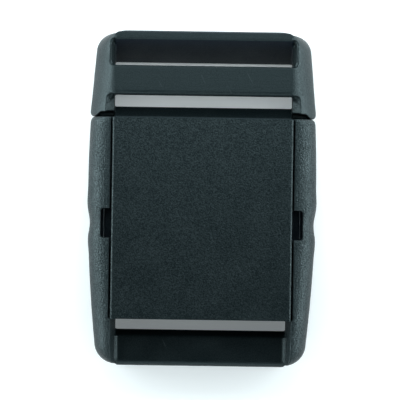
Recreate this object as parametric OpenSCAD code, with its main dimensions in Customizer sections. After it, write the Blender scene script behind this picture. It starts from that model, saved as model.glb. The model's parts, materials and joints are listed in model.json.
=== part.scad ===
// Two-part webbing buckle: a plug with a strap adjuster, latched in a socket by two spring arms.
// Millimetres. X runs across the buckle, +Y towards the plug's strap end, +Z out of the front face.
// The origin is the middle of the back face, on which the buckle lies.

/* [Overall size] */
// Length over both strap ends
buckle_l = 76.2; // [76:0.1:76.6]
// Width of the bowed sides where they bow out the most
buckle_w = 52; // [51.8:0.1:52.6]
// Thickness from the back face to the front panel
buckle_t = 12.5; // [12.4:0.1:12.8]

/* [Outline] */
// Radius of the long bowed sides
side_r = 320; // [300:2:340]
// Where along the length the sides bow out the most
bow_y = 2; // [1:0.5:3]
// Corner radius at the socket's strap end
tail_corner_r = 4.9; // [4.7:0.1:5.1]
// Corner radius at the plug's strap end
head_corner_r = 4.3; // [4.1:0.1:4.5]
// Middle of the finger grips along the length
grip_y = -5.6; // [-6.2:0.1:-5.2]
// Depth of the finger grips
grip_depth = 0.38; // [0.3:0.02:0.5]
// Distance between the two swellings of a finger grip
grip_l = 8.6; // [8:0.2:9]

/* [Socket] */
// Place of the split line between plug and socket
split_y = 18.4; // [18.2:0.1:18.6]
// Width of the front panel
panel_w = 41; // [40.8:0.1:41.2]
// Thickness of the front panel
panel_t = 1.9; // [1.7:0.1:2]
// Place of the front panel's strap end
panel_tail_y = -27.5; // [-27.7:0.1:-27.3]
// Bevel along the front panel's long edges
panel_edge = 0.3; // [0.2:0.05:0.35]
// Gap between the front panel and each side rail
panel_gap = 0.4; // [0.3:0.05:0.5]
// Thickness of the floor
floor_t = 2.2; // [2:0.1:2.3]
// Width between the side rails where a strap passes
socket_slot_w = 38.8; // [38.6:0.1:39]
// Opening of the socket's strap slot
socket_slot_gap = 2.4; // [2.2:0.1:2.6]

/* [Plug] */
// Width between the plug's shoulders where a strap passes
plug_slot_w = 40.4; // [40.2:0.1:40.6]
// Place of the neck's outer edge
neck_head_y = 20.8; // [20.6:0.1:21]
// Place of the crossbar's edge on the side of the neck
crossbar_y = 23.4; // [23.2:0.1:23.6]
// Width of the crossbar along the buckle
crossbar_w = 6.8; // [6.6:0.1:6.9]
// Thickness of the crossbar
crossbar_t = 5.4; // [5:0.1:5.8]

/* [Latch] */
// Distance of each arm's pivot from the middle line
pivot_x = 18.6; // [18.5:0.1:18.7]
// Place of the arms' pivots along the length
pivot_y = 13.2; // [13.1:0.1:13.3]
// Radius of the round root of each arm
knuckle_r = 1.7; // [1.6:0.05:1.75]
// Radial clearance of the arm root in its seat
knuckle_clearance = 0.05; // [0.03:0.01:0.08]
// Place of the latching shoulder of each press pad
latch_y = -1.6; // [-1.7:0.1:-1.5]
// Length of each press pad
pad_l = 10.4; // [10.2:0.1:10.6]
// Clearance round each press pad
pad_clearance = 0.3; // [0.25:0.05:0.35]

/* [Hidden] */

$fn = 48;
past = 1;

// The moulding's colours: grained outer faces, smooth bars and springs
grained_black = [0.16, 0.19, 0.20];
smooth_black = [0.09, 0.12, 0.13];
spring_black = [0.12, 0.14, 0.16];

head_y = buckle_l / 2;
tail_y = -head_y;

// The rounded corners of the outline, and the thin edge in which a rail ends
tail_inset = 0.35;
head_inset = 0.65;
tail_turn_y = tail_y + tail_inset + tail_corner_r;
head_turn_y = head_y - head_inset - head_corner_r;
grip_swell = 0.15;
end_edge = 0.4;
tail_drop = 2.6;
head_drop = 1;
end_lift = 0.8;
corner_steps = 8;
section_steps = 12;

// The socket's side rails
rail_in = socket_slot_w / 2;
rail_top = buckle_t - 0.1;
rail_mid = buckle_t / 2;
rail_round = 2.2;
rail_step = 3;
grip_step = 0.7;
ledge_top = buckle_t - panel_t;
cavity_x = 23.4;
cavity_top = 9.6;
cavity_tail_y = -15.6;
panel_back = 0.1;

// The windows beside the front panel
window_x = 22.9;
window_tail_y = -9.1;
window_head_y = -2.4;
window_r = 0.6;

// The press pads and the openings that they fill
pad_tail_y = latch_y - pad_l;
pad_low = 2.8;
pad_high = 6.4;
pad_in = 22.2;
pad_swing = 1.2;
pad_lead = 1.4;
pad_tip_r = 0.5;

// The socket's strap bar and the sloped walls at its ends
strap_bar_y = panel_tail_y - socket_slot_gap;
strap_bar_low = 1.6;
strap_bar_high = 7.6;
strap_bar_edge = 6.2;
strap_bar_slope = 1.4;
strap_bar_r = 1.2;
strap_fillet = 0.6;
strap_wall_low = 7.8;
strap_wall_x = rail_in + 1.3;
bar_end_r = 0.7;

// The socket's floor, end wall and guide ribs
end_wall_t = 1.8;
back_recess_x = 15;
back_recess_tail_y = -22;
back_recess_head_y = 13;
back_recess_depth = 0.4;
back_recess_r = 3;
rib_in = 5;
rib_t = 1.2;
rib_h = 1.8;
rib_tail_y = -21;
rib_head_y = 11.5;

// The plug's shoulders, and the sloped wells beside its strap slots
shoulder_in = plug_slot_w / 2;
shoulder_y = split_y + 0.05;
shoulder_top = buckle_t - 0.3;
shoulder_mid = 5.6;
shoulder_round = 1.45;
under_round = 2.4;
shoulder_step = 2;
slot_well_rise = 1.05;
slot_rim_x = 21.9;
slot_rim_low = 10.7;
end_well_rise = 0.42;
end_well_low = 8.6;
end_rim_x = 21.4;
end_rim_low = 10.8;
well_r = 0.6;
rim_r = 1;
slot_rim_past = 0.3;
end_rim_past = 0.15;
well_below = 0.5;
end_share = 0.15;
wedge_low = 5.2;
wedge_x = 24.4;
wedge_shoulder_x = 23.4;
wedge_y = 1.05;
wedge_in_y = 1.4;
flare = 0.26;
flare_l = 8;
lip_r = 1.4;
lip_steps = 4;

// The plug's bars, neck and tongue
crossbar_low = shoulder_top - crossbar_t;
crossbar_slot_r = 1.1;
crossbar_low_r = 0.8;
crossbar_high_r = 0.4;
end_bar_top = buckle_t - 1.1;
end_bar_strip = 1.9;
end_bar_foot_y = 30.85;
end_bar_foot_z = 1.8;
end_bar_foot_l = 0.8;
end_bar_turn = 2.2;
end_bar_turn_y = 0.4;
end_bar_turn_r = 8;
end_bar_low = 0.6;
end_bar_r = 1;
end_bar_fine_r = 0.5;
neck_low = 2.7;
neck_high = 9.2;
neck_edge = 7;
neck_low_r = 1;
neck_high_r = 0.75;
neck_x = 22.4;
neck_tail_y = pivot_y - 1;
tongue_x = 4.6;
tongue_low = 3.6;
tongue_high = 8.6;
tongue_tail_y = -17;
tongue_tip_r = 3;
tongue_wall = 1.6;
tongue_pocket = 1.4;
tongue_pocket_r = 1;

// The spring arms: heights, the bends of the beam's inner and outer sides, and the tip
arm_low = 3.9;
arm_high = 8.5;
arm_root_x = 1;
arm_in_bends = [[17.9, 8, 6], [19, 1.5, 8], [20.2, -5, 8]];
arm_out_bends = [[21.2, 2.5, 6], [20, 8, 8]];
arm_tip_y = -13.6;
arm_tip_x = 20.7;
arm_tip_r = 0.5;
arm_tip_gap = 0.2;
arm_latch_r = 0.6;
knuckle_low = 3.5;
knuckle_high = 8.9;

// A vector's direction
function unit(v) = v / norm(v);

// An arc of radius r in the corner at b, between its neighbours a and c
function corner_arc(a, b, c, r, n) =
  let (u = unit(a - b))
  let (v = unit(c - b))
  let (half = acos(u * v) / 2)
  let (middle = b + unit(u + v) * r / sin(half))
  let (p = b + u * r / tan(half) - middle)
  let (q = b + v * r / tan(half) - middle)
  let (start = atan2(p.y, p.x))
  let (turn = (atan2(q.y, q.x) - start + 540) % 360 - 180)
  [for (i = [0:n]) middle + r * [cos(start + turn * i / n), sin(start + turn * i / n)]];

// A closed outline from its corners, each given as [x, y, radius]
function rounded(corners, n = 6) =
  let (count = len(corners))
  [
    for (i = [0:count - 1])
      let (a = corners[(i + count - 1) % count])
      let (b = corners[i])
      let (c = corners[(i + 1) % count])
      each b.z > 0
        ? corner_arc([a.x, a.y], [b.x, b.y], [c.x, c.y], b.z, n)
        : [[b.x, b.y]]
  ];

// Half the width between the bowed sides at y
function bowed(y) = buckle_w / 2 - pow(y - bow_y, 2) / (2 * side_r);

// How far the finger grip draws the side in at y: a hollow between two swellings
function grip(y) =
  let (t = abs(y - grip_y) / (grip_l / 2))
  let (hollow = t < 1 ? grip_depth * (1 + cos(180 * t)) / 2 : 0)
  let (swelling = t < 2 ? grip_swell * (1 - cos(180 * t)) / 2 : 0)
  hollow - swelling;

// Half the width in a corner of radius r, a distance d past the place where its turn starts
function turned(turn_y, r, d) = bowed(turn_y) - r + sqrt(r * r - d * d);

// Half the width at y, with the ends' corners rounded off
function half_width(y) =
  y < tail_turn_y ? turned(tail_turn_y, tail_corner_r, tail_turn_y - y)
  : y > head_turn_y ? turned(head_turn_y, head_corner_r, y - head_turn_y)
  : bowed(y) - grip(y);

// How far a corner's turn at y has gone, from 0 at its start to 1 at its end
function turn_share(y) =
  let (d = max(tail_turn_y - y, 0) / tail_corner_r + max(y - head_turn_y, 0) / head_corner_r)
  1 - sqrt(1 - d * d);

// How far past the start of its turn a corner gets before the half width falls to x
function turn_reach(turn_y, r, x) = sqrt(r * r - pow(x - bowed(turn_y) + r, 2));

// How far a lip of radius lip_r turns in, a distance d before the split line
function lip(d) = d < lip_r ? (lip_r - sqrt(lip_r * lip_r - pow(lip_r - d, 2))) / 2 : 0;

// How far the plug's shoulders spread near the split line
function spread(y) = flare * pow(max(shoulder_y + flare_l - y, 0) / flare_l, 2);

// The section at y of a rail with a flat inner face and rounded upper and lower sides, on +X
function section(y, inner, mid, top, top_round, under, extra) =
  let (out = half_width(y) + extra - inner)
  let (drop = y < 0 ? tail_drop : head_drop)
  let (crown = top - mid - drop * turn_share(y))
  let (depth = mid - end_lift * turn_share(y))
  let (n = section_steps)
  [
    for (i = [0:n])
      let (a = 90 - 90 * i / n)
      [inner + out * pow(cos(a), 2 / under), y, mid - depth * pow(sin(a), 2 / under)],
    for (i = [1:n])
      let (a = 90 * i / n)
      [inner + out * pow(cos(a), 2 / top_round), y, mid + crown * pow(sin(a), 2 / top_round)]
  ];

// Places from one end of a stretch up to, but not including, the other, at most step apart
function places(from, to, step) =
  let (n = ceil((to - from) / step))
  [for (i = [0:n - 1]) from + (to - from) * i / n];

// A closed solid through sections that all have the same number of points
module loft(rings) {
  n = len(rings[0]);
  last = len(rings) - 1;
  walls = [
    for (i = [0:last - 1])
    for (j = [0:n - 1])
      let (a = i * n + j)
      let (b = i * n + (j + 1) % n)
      each [[a, b, b + n], [a, b + n, a + n]]
  ];
  near_end = [for (j = [0:n - 1]) n - 1 - j];
  far_end = [for (j = [0:n - 1]) last * n + j];
  polyhedron(points = [for (r = rings) each r], faces = concat(walls, [near_end, far_end]));
}

// A bar across the buckle, from its [y, z] outline
module bar(width, outline) {
  rotate([90, 0, 90]) linear_extrude(height = width, center = true) polygon(outline);
}

// A prism along the buckle, from its [x, z] outline
module runner(from, to, outline) {
  translate([0, to, 0]) rotate([90, 0, 0]) linear_extrude(height = to - from) polygon(outline);
}

// An upright prism, from its [x, y] outline
module upright(low, high, outline) {
  translate([0, 0, low]) linear_extrude(height = high - low) polygon(outline);
}

// A box between its lowest and highest corners
module span(low, high) {
  translate(low) cube(high - low);
}

// A well whose walls slope out by rise for each millimetre up, passing through a rectangle at z
module well(z, low, high, r, rise) {
  loft([
    for (up = [buckle_t + past - z, -well_below])
      let (grow = rise * up)
      let (outline = rectangle(
        [low.x - grow, low.y - grow * end_share], [high.x + grow, high.y + grow * end_share],
        r + max(grow, 0)
      ))
      [for (p = outline) [p.x, p.y, z + up]]
  ]);
}

// A rectangle's corners, all with one radius
function rectangle(low, high, r) =
  rounded([[low.x, low.y, r], [high.x, low.y, r], [high.x, high.y, r], [low.x, high.y, r]]);

// The full outer body of a socket rail, on +X
module rail_body() {
  reach = turn_reach(tail_turn_y, tail_corner_r, rail_in + end_edge);
  corner = [for (i = [0:corner_steps - 1]) tail_turn_y - reach * cos(90 * i / corner_steps)];
  stations = concat(
    corner,
    places(tail_turn_y, grip_y - grip_l, rail_step),
    places(grip_y - grip_l, grip_y + grip_l, grip_step),
    places(grip_y + grip_l, split_y - lip_r, rail_step),
    places(split_y - lip_r, split_y, lip_r / lip_steps),
    [split_y]
  );
  loft([
    for (y = stations)
      section(y, rail_in, rail_mid, rail_top, rail_round, rail_round, -lip(split_y - y))
  ]);
}

// A socket rail on +X: a channel for the spring arm, open at the side for the press pad
module rail() {
  panel_side = panel_w / 2 + panel_gap;
  difference() {
    rail_body();
    span([rail_in - past, cavity_tail_y, floor_t], [cavity_x, split_y + past, cavity_top]);
    span(
      [rail_in - past, panel_tail_y, ledge_top],
      [panel_side, split_y + past, buckle_t + past]
    );
    span(
      [cavity_x - past, pad_tail_y - pad_swing, pad_low - pad_clearance],
      [buckle_w, latch_y + pad_clearance, pad_high + pad_clearance]
    );
    upright(cavity_top - past, buckle_t + past, rounded([
      [panel_w / 2, window_tail_y, 0],
      [window_x, window_tail_y, window_r],
      [window_x, window_head_y, window_r],
      [panel_w / 2, window_head_y, 0]
    ]));
    runner(tail_y - past, panel_tail_y, [
      [rail_in - past, strap_wall_low],
      [rail_in, strap_wall_low],
      [strap_wall_x, buckle_t],
      [rail_in - past, buckle_t]
    ]);
  }
}

module left_rail() {
  color(grained_black) mirror([1, 0, 0]) rail();
}

module right_rail() {
  color(grained_black) rail();
}

// The socket's back, with a shallow recess in its outer face
module socket_floor() {
  recess = rectangle(
    [-back_recess_x, back_recess_tail_y], [back_recess_x, back_recess_head_y], back_recess_r
  );
  color(grained_black) difference() {
    span([-rail_in, panel_tail_y, 0], [rail_in, split_y, floor_t]);
    upright(-past, back_recess_depth, recess);
  }
}

// The flat front plate, which lies on ledges of the two rails and on the end wall
module front_panel() {
  half = panel_w / 2;
  profile = [
    [-half, ledge_top],
    [half, ledge_top],
    [half, buckle_t - panel_edge],
    [half - panel_edge, buckle_t],
    [panel_edge - half, buckle_t],
    [-half, buckle_t - panel_edge]
  ];
  color(grained_black) runner(panel_tail_y, split_y - panel_back, profile);
}

// The wall that closes the socket's cavity beside the strap slot
module cavity_end_wall() {
  color(smooth_black) span(
    [-rail_in, panel_tail_y, floor_t], [rail_in, panel_tail_y + end_wall_t, ledge_top]
  );
}

// The bar that the sewn strap loops round, lower than the rails
module strap_bar() {
  plan = rectangle([-rail_in, tail_y], [rail_in, strap_bar_y + 2 * bar_end_r], bar_end_r);
  outline = rounded([
    [tail_y, strap_bar_low, strap_bar_r],
    [strap_bar_y, strap_bar_low, strap_bar_r],
    [strap_bar_y, strap_bar_edge, strap_bar_r],
    [strap_bar_y - strap_bar_slope, strap_bar_high, strap_bar_r],
    [tail_y, strap_bar_high, strap_bar_r]
  ]);
  color(smooth_black) intersection() {
    union() {
      bar(socket_slot_w, outline);
      for (side = [-1, 1])
        runner(tail_y + strap_bar_r, strap_bar_y - strap_bar_slope, [
          [side * rail_in, strap_bar_edge],
          [side * rail_in, strap_bar_high + strap_fillet],
          [side * (rail_in - strap_fillet), strap_bar_high],
          [side * (rail_in - strap_fillet), strap_bar_edge]
        ]);
    }
    upright(0, buckle_t, plan);
  }
}

// A rib on the floor that guides the plug's tongue, on +X
module guide_rib() {
  span([rib_in, rib_tail_y, floor_t], [rib_in + rib_t, rib_head_y, floor_t + rib_h]);
}

module left_guide_rib() {
  color(smooth_black) mirror([1, 0, 0]) guide_rib();
}

module right_guide_rib() {
  color(smooth_black) guide_rib();
}

// A side of the plug on +X: a flat slope outwards, with sloped wells beside the strap slots
module shoulder() {
  reach = turn_reach(head_turn_y, head_corner_r, shoulder_in + end_edge);
  corner = [for (i = [0:corner_steps]) head_turn_y + reach * sin(90 * i / corner_steps)];
  stations = concat(
    places(shoulder_y, shoulder_y + lip_r, lip_r / lip_steps),
    places(shoulder_y + lip_r, head_turn_y, shoulder_step),
    corner
  );
  end_bar_y = crossbar_y + crossbar_w;
  end_well_head_y = head_y - end_bar_strip;
  difference() {
    loft([
      for (y = stations)
        let (extra = spread(y) - lip(y - shoulder_y))
        section(y, shoulder_in, shoulder_mid, shoulder_top, shoulder_round, under_round, extra)
    ]);
    well(neck_high, [0, 0], [shoulder_in, crossbar_y], well_r, slot_well_rise);
    well(end_well_low, [0, end_bar_y], [shoulder_in, end_well_head_y], well_r, end_well_rise);
    upright(slot_rim_low, buckle_t, rectangle(
      [0, 0], [slot_rim_x, crossbar_y + slot_rim_past], rim_r
    ));
    upright(end_rim_low, buckle_t, rectangle(
      [0, end_bar_y - end_rim_past], [end_rim_x, end_well_head_y + end_rim_past], rim_r
    ));
    upright(wedge_low, buckle_t, [
      [wedge_x, shoulder_y - past],
      [wedge_x, shoulder_y],
      [wedge_shoulder_x, shoulder_y + wedge_y],
      [shoulder_in - past, shoulder_y + wedge_in_y],
      [shoulder_in - past, shoulder_y - past]
    ]);
  }
}

module left_shoulder() {
  color(grained_black) mirror([1, 0, 0]) shoulder();
}

module right_shoulder() {
  color(grained_black) shoulder();
}

// The plug's outer bar: a level strip on top, and a slope that runs down under the crossbar
module end_bar() {
  turn_x = shoulder_in - end_bar_turn;
  plan = rounded([
    [-shoulder_in, end_bar_foot_y - past, 0],
    [shoulder_in, end_bar_foot_y - past, 0],
    [shoulder_in, head_y - end_bar_turn_y, end_bar_r],
    [turn_x, head_y, end_bar_turn_r],
    [-turn_x, head_y, end_bar_turn_r],
    [-shoulder_in, head_y - end_bar_turn_y, end_bar_r]
  ]);
  outline = rounded([
    [head_y, end_bar_low, end_bar_r],
    [head_y, end_bar_top, end_bar_r],
    [head_y - end_bar_strip, end_bar_top, end_bar_fine_r],
    [end_bar_foot_y, end_bar_foot_z, end_bar_fine_r],
    [end_bar_foot_y + end_bar_foot_l, end_bar_low, end_bar_fine_r]
  ]);
  color(smooth_black) intersection() {
    bar(plug_slot_w, outline);
    upright(0, buckle_t, plan);
  }
}

// The bar that the adjusting strap folds over, level with the shoulders
module crossbar() {
  outline = rounded([
    [crossbar_y, crossbar_low, crossbar_slot_r],
    [crossbar_y + crossbar_w, crossbar_low, crossbar_low_r],
    [crossbar_y + crossbar_w, shoulder_top, crossbar_high_r],
    [crossbar_y, shoulder_top, crossbar_slot_r]
  ]);
  color(smooth_black) bar(plug_slot_w, outline);
}

// The block that joins the shoulders and holds the roots of the spring arms and the tongue
module neck() {
  outline = rounded([
    [neck_tail_y, neck_low, 0],
    [neck_head_y, neck_low, neck_low_r],
    [neck_head_y, neck_edge, neck_high_r],
    [shoulder_y, neck_high, neck_high_r],
    [neck_tail_y, neck_high, 0]
  ]);
  color(smooth_black) difference() {
    union() {
      bar(plug_slot_w, outline);
      span([-neck_x, neck_tail_y, neck_low], [-shoulder_in, shoulder_y, neck_high]);
      span([shoulder_in, neck_tail_y, neck_low], [neck_x, shoulder_y, neck_high]);
    }
    for (side = [-1, 1])
      translate([side * pivot_x, pivot_y, 0])
        cylinder(h = buckle_t, r = knuckle_r + knuckle_clearance);
  }
}

// The middle tongue that runs between the socket's guide ribs
module guide_tongue() {
  outline = rounded([
    [-tongue_x, tongue_tail_y, tongue_tip_r],
    [tongue_x, tongue_tail_y, tongue_tip_r],
    [tongue_x, neck_tail_y, 0],
    [-tongue_x, neck_tail_y, 0]
  ]);
  pocket = rectangle(
    [tongue_wall - tongue_x, tongue_tail_y + tongue_tip_r],
    [tongue_x - tongue_wall, neck_tail_y - tongue_wall],
    tongue_pocket_r
  );
  color(smooth_black) difference() {
    upright(tongue_low, tongue_high, outline);
    upright(tongue_high - tongue_pocket, tongue_high + past, pocket);
  }
}

// A spring arm on +X: a round root in the neck's seat and a beam that ends behind the press pad
module spring_arm() {
  outline = rounded(concat(
    [[pivot_x - arm_root_x, pivot_y, 0]],
    arm_in_bends,
    [
      [arm_tip_x, arm_tip_y, arm_tip_r],
      [pad_in - arm_tip_gap, arm_tip_y, arm_tip_r],
      [pad_in, pad_tail_y, 0],
      [pad_in, latch_y, arm_latch_r]
    ],
    arm_out_bends,
    [[pivot_x + arm_root_x, pivot_y, 0]]
  ));
  union() {
    translate([pivot_x, pivot_y, knuckle_low])
      cylinder(h = knuckle_high - knuckle_low, r = knuckle_r);
    upright(arm_low, arm_high, outline);
  }
}

module left_spring_arm() {
  color(spring_black) mirror([1, 0, 0]) spring_arm();
}

module right_spring_arm() {
  color(spring_black) spring_arm();
}

// A press pad on +X: a piece of the rail's own outer shape, with its shoulder towards the plug
module press_pad() {
  plan = rounded([
    [pad_in, pad_tail_y, 0],
    [half_width(pad_tail_y) - pad_lead, pad_tail_y, pad_tip_r],
    [buckle_w / 2 + past, pad_tail_y + pad_lead + past, 0],
    [buckle_w / 2 + past, latch_y, 0],
    [pad_in, latch_y, 0]
  ]);
  intersection() {
    rail_body();
    upright(pad_low, pad_high, plan);
  }
}

module left_press_pad() {
  color(spring_black) mirror([1, 0, 0]) press_pad();
}

module right_press_pad() {
  color(spring_black) press_pad();
}

socket_floor();
left_rail();
right_rail();
front_panel();
cavity_end_wall();
strap_bar();
left_guide_rib();
right_guide_rib();
left_shoulder();
right_shoulder();
end_bar();
crossbar();
neck();
guide_tongue();
left_spring_arm();
left_press_pad();
right_spring_arm();
right_press_pad();
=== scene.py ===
"""A latched side release webbing buckle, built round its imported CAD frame. Metres, +Z out of the panel."""
import json
import math

import bmesh
import bpy
import numpy as np
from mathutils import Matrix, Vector


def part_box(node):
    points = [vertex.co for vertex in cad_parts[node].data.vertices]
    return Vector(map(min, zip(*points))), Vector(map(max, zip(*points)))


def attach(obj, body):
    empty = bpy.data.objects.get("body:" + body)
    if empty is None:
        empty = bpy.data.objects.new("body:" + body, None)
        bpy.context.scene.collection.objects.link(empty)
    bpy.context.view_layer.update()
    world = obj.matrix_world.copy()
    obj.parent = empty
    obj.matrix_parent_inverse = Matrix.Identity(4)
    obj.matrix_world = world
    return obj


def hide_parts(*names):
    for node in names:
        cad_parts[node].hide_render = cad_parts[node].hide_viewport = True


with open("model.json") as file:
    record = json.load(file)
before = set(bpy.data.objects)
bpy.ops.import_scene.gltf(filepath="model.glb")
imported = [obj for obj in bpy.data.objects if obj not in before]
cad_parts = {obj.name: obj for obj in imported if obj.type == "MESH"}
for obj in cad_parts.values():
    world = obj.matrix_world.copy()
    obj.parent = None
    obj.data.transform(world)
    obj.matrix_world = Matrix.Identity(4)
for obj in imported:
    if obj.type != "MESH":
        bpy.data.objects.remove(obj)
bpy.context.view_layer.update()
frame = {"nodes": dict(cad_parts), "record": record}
MM = 0.001

# ---------------------------------------------------------------- how the mouldings' meshes are made
VOXEL = 0.2 * MM
SOFTENING = 0.5
SOFTENING_STEPS = 3
MOST_TRIANGLES = 160000
PANEL_EDGE = 0.07 * MM
PANEL_EDGE_STEPS = 2
# painted edge highlight: how convex edges are found and how strongly they are painted paler
EDGE_HIGHLIGHT_BLURS = 2
EDGE_HIGHLIGHT_START = 0.02
EDGE_HIGHLIGHT_FULL = 0.12

# ---------------------------------------------------------------- the view and its light
VIEW_WIDTH = 90.8 * MM
CAMERA_DISTANCE = 1500 * MM
SENSOR = 36
CLIP_NEAR = 0.01
CLIP_FAR = 10
AIM = Vector((-0.46, -0.25, 0)) * MM
ROLL = math.radians(0.85)

SOFT_WHITE = (0.88, 0.975, 1)
WHOLE = (0, 0, 0.01)
WORLD_STRENGTH = 1.6
GLOW_TOP = 0.45
GLOW_OVERHEAD = 0.03
FLOOR_SIZE = 3
FLOOR_DROP = 0.02 * MM
FLOOR_COLOUR = (0.92, 0.92, 0.92, 1)
FLOOR_ROUGHNESS = 0.9
FLOOR_GLOW = 0.18

# ---------------------------------------------------------------- the plastics
BLACK = (0.0022, 0.0046, 0.0056)
# a bluer black: the navy tint of deep shade, painted on the cavity, the plug's slope and inside, and the
# springs
SHADE_BLUE_BLACK = (0.002, 0.0044, 0.009)
# paler grey used both for the painted edge highlight and for real scuff marks
HIGHLIGHT_AND_SCUFF_GREY = (0.014, 0.019, 0.021)
GLOSS_TINT = (0.74, 0.97, 1, 1)
GLOSS_LEVEL = 0.28

GRAIN_DETAIL = 2
GRAIN_MIDDLE = 0.5
GRAIN_ROUGHNESS = 0.25
PITS_PER_GRAIN = 1.25
PIT_SHARE = 0.4
STREAK_WIDTH = 0.35 * MM
STREAK_STRETCH = 0.04
STREAK_DETAIL = 2
DOT_SHARE = 0.7
DOT_DETAIL = 1
DOT_START = 0.34
DOT_FULL = 0.7
PATCH_SIZE = 7 * MM
PATCH_DETAIL = 3
PATCH_START = 0.35
PATCH_FULL = 0.65
PATCH_ROUGHNESS = 0.05
# painted edge highlight: how patchily it runs along the edges
EDGE_HIGHLIGHT_PATCH_START = 0.4
EDGE_HIGHLIGHT_PATCH_FULL = 0.7
LEAST_EDGE_HIGHLIGHT = 0.3
SCUFF_WIDTH = 0.4 * MM
SCUFF_STRETCH = 0.1
SCUFF_TURN = 1.1
SCUFF_DETAIL = 0
SCUFF_START = 0.8
SCUFF_FULL = 0.88

# ---------------------------------------------------------------- how far a finish reaches round its nodes
BAR_ROOM = 1 * MM
BAR_END_INSET = 0.4 * MM
CAVITY_SIDE_ROOM = 0.8 * MM
SURFACE_ROOM = 0.3 * MM
SPRING_ROOM = 1 * MM


class Nodes:
    """A short way to write a node tree."""

    def __init__(self, tree):
        self.tree = tree

    def add(self, kind, links=(), settings=(), **values):
        """A node with its settings, its linked inputs and its plain input values."""
        node = self.tree.nodes.new("ShaderNode" + kind)
        for name, value in dict(settings).items():
            setattr(node, name, value)
        for name, value in values.items():
            node.inputs[name.replace("_", " ")].default_value = value
        for name, output in dict(links).items():
            self.tree.links.new(output, node.inputs[name])
        return node

    def math(self, operation, *values):
        """One step of arithmetic on outputs or plain numbers."""
        node = self.add("Math", settings={"operation": operation})
        for socket, value in zip(node.inputs, values):
            if isinstance(value, (int, float)):
                socket.default_value = value
            else:
                self.tree.links.new(value, socket)
        return node.outputs[0]

    def ranged(self, value, low, high, to_low, to_high, easing="LINEAR"):
        """A value moved from one range to another, and kept inside it."""
        limits = {"From_Min": low, "From_Max": high, "To_Min": to_low, "To_Max": to_high}
        node = self.add("MapRange", {"Value": value}, {"interpolation_type": easing}, **limits)
        return node.outputs["Result"]

    def noise(self, place, size, detail):
        """Soft noise with features of one size."""
        return self.add("TexNoise", {"Vector": place}, Scale=1 / size, Detail=detail).outputs["Fac"]

    def moved(self, place, **values):
        """Turned or stretched coordinates."""
        return self.add("Mapping", {"Vector": place}, **values).outputs["Vector"]


# ---------------------------------------------------------------- studio
def make_camera():
    """Looks straight down on the front panel from afar, turned a little."""
    data = bpy.data.cameras.new("camera")
    data.sensor_width = SENSOR
    data.lens = SENSOR * CAMERA_DISTANCE / VIEW_WIDTH
    data.clip_start = CLIP_NEAR
    data.clip_end = CLIP_FAR
    camera = bpy.data.objects.new("camera", data)
    camera.location = AIM + Vector((0, 0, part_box("front_panel")[1].z + CAMERA_DISTANCE))
    camera.rotation_euler = (0, 0, ROLL)
    bpy.context.scene.collection.objects.link(camera)
    bpy.context.scene.camera = camera


def make_light(name, place, aim, size, power):
    """A soft rectangular light at place, turned towards aim, which the camera doesn't see."""
    data = bpy.data.lights.new(name, "AREA")
    data.shape = "RECTANGLE"
    data.size, data.size_y = size
    data.energy = power
    data.color = SOFT_WHITE
    light = bpy.data.objects.new(name, data)
    light.location = place
    light.rotation_euler = (Vector(aim) - Vector(place)).to_track_quat("-Z", "Y").to_euler()
    light.visible_camera = False
    bpy.context.scene.collection.objects.link(light)


def make_world():
    """A pale glow round the horizon that fades upwards, so that level faces stay dark and sides shine."""
    world = bpy.data.worlds.new("studio")
    world.use_nodes = True
    background = world.node_tree.nodes["Background"]
    background.inputs["Strength"].default_value = WORLD_STRENGTH
    n = Nodes(world.node_tree)
    direction = n.add("TexCoord").outputs["Generated"]
    rise = n.add("SeparateXYZ", {"Vector": direction}).outputs["Z"]
    fade = n.ranged(rise, 0, GLOW_TOP, 1, GLOW_OVERHEAD, "SMOOTHSTEP")
    glow = n.add("VectorMath", {"Scale": fade}, {"operation": "SCALE"}, Vector=SOFT_WHITE)
    n.tree.links.new(glow.outputs["Vector"], background.inputs["Color"])
    bpy.context.scene.world = world


def make_floor():
    """A plain pale table, which glows a little."""
    half = FLOOR_SIZE / 2
    corners = [(-half, -half, 0), (half, -half, 0), (half, half, 0), (-half, half, 0)]
    mesh = bpy.data.meshes.new("floor")
    mesh.from_pydata(corners, [], [(0, 1, 2, 3)])
    floor = bpy.data.objects.new("floor", mesh)
    floor.location.z = -FLOOR_DROP
    material = bpy.data.materials.new("floor")
    material.use_nodes = True
    shader = material.node_tree.nodes["Principled BSDF"]
    shader.inputs["Base Color"].default_value = FLOOR_COLOUR
    shader.inputs["Roughness"].default_value = FLOOR_ROUGHNESS
    shader.inputs["Emission Color"].default_value = (*SOFT_WHITE, 1)
    shader.inputs["Emission Strength"].default_value = FLOOR_GLOW
    mesh.materials.append(material)
    bpy.context.scene.collection.objects.link(floor)


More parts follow.
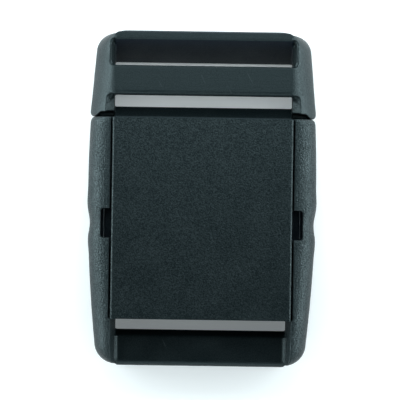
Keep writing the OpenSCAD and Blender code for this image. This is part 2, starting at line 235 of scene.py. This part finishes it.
# ---------------------------------------------------------------- materials
def plastic(name, colour, roughness, grain_size, grain_depth, glints, streak_depth=0.0):
    """Black moulded plastic: a spark-eroded grain, drawn streaks, uneven gloss, paler scuffs and a painted
    highlight that makes convex edges paler.
    """
    material = bpy.data.materials.new(name)
    material.use_nodes = True
    shader = material.node_tree.nodes["Principled BSDF"]
    shader.inputs["Specular Tint"].default_value = GLOSS_TINT
    n = Nodes(material.node_tree)
    place = n.add("TexCoord").outputs["Object"]

    grain = n.noise(place, grain_size, GRAIN_DETAIL)
    pits = n.add("TexVoronoi", {"Vector": place}, Scale=PITS_PER_GRAIN / grain_size).outputs["Distance"]
    height = n.math("ADD", grain, n.math("MULTIPLY", pits, PIT_SHARE))
    bump = n.add("Bump", {"Height": height}, Distance=grain_depth, Strength=1)
    if streak_depth:
        streaks = n.noise(n.moved(place, Scale=(STREAK_STRETCH, 1, 1)), STREAK_WIDTH, STREAK_DETAIL)
        links = {"Height": streaks, "Normal": bump.outputs["Normal"]}
        bump = n.add("Bump", links, Distance=streak_depth, Strength=1)
    n.tree.links.new(bump.outputs["Normal"], shader.inputs["Normal"])

    dots = n.noise(place, grain_size * DOT_SHARE, DOT_DETAIL)
    dull, bright = GLOSS_LEVEL * (1 - glints), GLOSS_LEVEL * (1 + glints)
    n.tree.links.new(n.ranged(dots, DOT_START, DOT_FULL, dull, bright), shader.inputs["Specular IOR Level"])

    patches = n.noise(place, PATCH_SIZE, PATCH_DETAIL)
    least, most = roughness - PATCH_ROUGHNESS, roughness + PATCH_ROUGHNESS
    uneven = n.ranged(patches, PATCH_START, PATCH_FULL, least, most)
    speckled = n.math("MULTIPLY_ADD", n.math("SUBTRACT", grain, GRAIN_MIDDLE), GRAIN_ROUGHNESS, uneven)
    n.tree.links.new(speckled, shader.inputs["Roughness"])

    # painted highlight on convex edges, patchy; the scuffs below are real pale marks, painted in the same
    # grey
    highlit_edges = n.add("Attribute", settings={"attribute_name": "edge_highlight"}).outputs["Fac"]
    patchy_edge_highlight = n.math("MULTIPLY", highlit_edges, n.ranged(patches, EDGE_HIGHLIGHT_PATCH_START, EDGE_HIGHLIGHT_PATCH_FULL, LEAST_EDGE_HIGHLIGHT, 1))
    drawn_out = n.moved(n.moved(place, Rotation=(0, 0, SCUFF_TURN)), Scale=(SCUFF_STRETCH, 1, 1))
    scuffs = n.ranged(n.noise(drawn_out, SCUFF_WIDTH, SCUFF_DETAIL), SCUFF_START, SCUFF_FULL, 0, 1)
    highlight_and_scuffs = n.math("MAXIMUM", patchy_edge_highlight, scuffs)
    mixed = n.add("MixRGB", {"Fac": highlight_and_scuffs}, Color1=(*colour, 1), Color2=(*HIGHLIGHT_AND_SCUFF_GREY, 1))
    n.tree.links.new(mixed.outputs["Color"], shader.inputs["Base Color"])
    return material


# ---------------------------------------------------------------- meshes
def joined(name, nodes):
    """A new object that holds copies of some CAD nodes' meshes."""
    whole = bmesh.new()
    for node in nodes:
        whole.from_mesh(frame["nodes"][node].data)
    mesh = bpy.data.meshes.new(name)
    whole.to_mesh(mesh)
    whole.free()
    piece = bpy.data.objects.new(name, mesh)
    bpy.context.scene.collection.objects.link(piece)
    return piece


def apply_modifiers(piece):
    """Turns a piece's modifiers into its mesh."""
    evaluated = piece.evaluated_get(bpy.context.evaluated_depsgraph_get())
    mesh = bpy.data.meshes.new_from_object(evaluated)
    piece.modifiers.clear()
    piece.data = mesh


def rows(items, name, width, kind=float):
    """One property of all the points, edges or faces of a mesh, as an array with a row for each."""
    values = np.empty(len(items) * width, dtype=kind)
    items.foreach_get(name, values)
    return values.reshape(-1, width)


def mark_edge_highlight(mesh):
    """Stores how far each point stands out as a convex edge, from 0 to 1, for the painted edge highlight."""
    count = len(mesh.vertices)
    places = rows(mesh.vertices, "co", 3)
    normals = rows(mesh.vertices, "normal", 3)
    ends = rows(mesh.edges, "vertices", 2, int)
    point, neighbour = np.concatenate([ends, ends[:, ::-1]]).T
    degree = np.bincount(point, minlength=count)
    sums = [np.bincount(point, places[neighbour, axis], count) for axis in range(3)]
    middle = np.stack(sums, axis=1) / degree[:, None]
    rise = ((places - middle) * normals).sum(axis=1) / VOXEL
    for _ in range(EDGE_HIGHLIGHT_BLURS):
        rise = np.bincount(point, rise[neighbour], count) / degree
    edge_highlight = np.clip((rise - EDGE_HIGHLIGHT_START) / (EDGE_HIGHLIGHT_FULL - EDGE_HIGHLIGHT_START), 0, 1)
    mesh.attributes.new("edge_highlight", "FLOAT", "POINT").data.foreach_set("value", edge_highlight)


def moulding(name, nodes, body, materials, choose):
    """One seamless moulding through several CAD nodes, softened, with a material chosen face by face."""
    piece = joined(name, nodes)
    remesh = piece.modifiers.new("remesh", "REMESH")
    remesh.mode = "VOXEL"
    remesh.voxel_size = VOXEL
    remesh.use_smooth_shade = True
    soften = piece.modifiers.new("soften", "SMOOTH")
    soften.factor = SOFTENING
    soften.iterations = SOFTENING_STEPS
    apply_modifiers(piece)
    mark_edge_highlight(piece.data)
    thin = piece.modifiers.new("thin", "DECIMATE")
    thin.ratio = min(1, MOST_TRIANGLES / (2 * len(piece.data.polygons)))
    apply_modifiers(piece)
    piece.data.materials.clear()
    for material in materials:
        piece.data.materials.append(material)
    chosen = choose(rows(piece.data.polygons, "center", 3)).astype(np.int32)
    piece.data.polygons.foreach_set("material_index", chosen)
    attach(piece, body)
    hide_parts(*nodes)


def finish_panel(material):
    """The front panel keeps its CAD mesh, with finely rounded edges."""
    panel = frame["nodes"]["front_panel"]
    panel.data.materials.clear()
    panel.data.materials.append(material)
    bevel = panel.modifiers.new("edges", "BEVEL")
    bevel.width = PANEL_EDGE
    bevel.segments = PANEL_EDGE_STEPS
    bevel.limit_method = "ANGLE"


# ---------------------------------------------------------------- finishes
def within(places, box):
    """Which places lie in a box."""
    low, high = np.array(box[0]), np.array(box[1])
    return ((places >= low) & (places <= high)).all(axis=1)


def socket_finish():
    """A choice of 0 grained outside, 1 smooth inside the cavity, with a painted navy shade tint, 2 satin on
    the strap bar.
    """
    bar_low, bar_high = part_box("strap_bar")
    room = Vector((-BAR_END_INSET, BAR_ROOM, BAR_ROOM))
    bar = (bar_low - room, bar_high + room)
    neck_low, neck_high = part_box("neck")
    panel_low, panel_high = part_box("front_panel")
    floor_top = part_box("socket_floor")[1].z - SURFACE_ROOM
    cavity = (
        Vector((neck_low.x - CAVITY_SIDE_ROOM, panel_low.y + SURFACE_ROOM, floor_top)),
        Vector((neck_high.x + CAVITY_SIDE_ROOM, panel_high.y - SURFACE_ROOM, panel_low.z)),
    )

    def choose(places):
        return np.where(within(places, bar), 2, within(places, cavity))

    return choose


def plug_finish():
    """A choice of 0 fine grain on the shoulders, 1 satin on the bars, 2 smooth inside and on the slope, with
    a painted navy shade tint.
    """
    split_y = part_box("left_shoulder")[0].y
    bars_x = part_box("end_bar")[1].x
    slope_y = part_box("crossbar")[1].y
    slope_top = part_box("end_bar")[1].z - SURFACE_ROOM

    def choose(places):
        x, y, z = places.T
        on_bars = np.abs(x) < bars_x
        on_slope = on_bars & (y > slope_y) & (z < slope_top)
        return np.where((y < split_y) | on_slope, 2, on_bars)

    return choose


def arm_finish():
    """A choice of 0 grained on the press pad's face, 1 smooth on the spring, with a painted navy shade tint.
    """
    pad_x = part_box("right_press_pad")[0].x + SPRING_ROOM

    def choose(places):
        return np.abs(places[:, 0]) < pad_x

    return choose


# ---------------------------------------------------------------- the scene
make_camera()
make_world()
make_light("left_low", (-0.5, 0.12, 0.1), WHOLE, (0.7, 0.18), 6.3)
make_light("left_high", (-0.45, 0.08, 0.25), WHOLE, (0.9, 0.4), 0.3)
make_light("right_low", (0.5, 0.12, 0.1), WHOLE, (0.7, 0.18), 5.4)
make_light("right_high", (0.45, 0.08, 0.25), WHOLE, (0.9, 0.4), 0.6)
make_light("near", (0, 0.045, 0.07), (0, 0.045, 0), (0.2, 0.06), 0.075)
make_light("head", (0, 0.3, 0.2), WHOLE, (0.5, 0.2), 0.5)
make_light("tail", (0, -0.4, 0.25), WHOLE, (0.9, 0.3), 1.8)
make_floor()

grained = plastic(
    "grained_plastic", BLACK, roughness=0.5, grain_size=0.4 * MM, grain_depth=0.12 * MM, glints=0.55
)
fine = plastic(
    "fine_plastic", BLACK, roughness=0.48, grain_size=0.35 * MM, grain_depth=0.05 * MM, glints=0.35
)
satin = plastic(
    "satin_plastic", BLACK, roughness=0.45, grain_size=0.3 * MM, grain_depth=0.02 * MM, glints=0.3,
    streak_depth=0.03 * MM,
)
# smooth plastic, coloured with the painted navy tint of deep shade
smooth = plastic(
    "smooth_plastic", SHADE_BLUE_BLACK, roughness=0.42, grain_size=0.3 * MM, grain_depth=0.008 * MM, glints=0.2,
    streak_depth=0.008 * MM,
)

bodies = {name: list(nodes) for name, nodes in frame["record"]["behaviour"]["bodies"].items()}
shell_nodes = [node for node in bodies["socket"] if node != "front_panel"]
shell_materials = [grained, smooth, satin]
moulding("socket_moulding", shell_nodes, "socket", shell_materials, socket_finish())
moulding("plug_moulding", bodies["plug"], "plug", [fine, satin, smooth], plug_finish())
for arm in ("left_arm", "right_arm"):
    moulding(arm + "_moulding", bodies[arm], arm, [grained, smooth], arm_finish())
finish_panel(grained)

bpy.context.scene.view_settings.view_transform = "Standard"
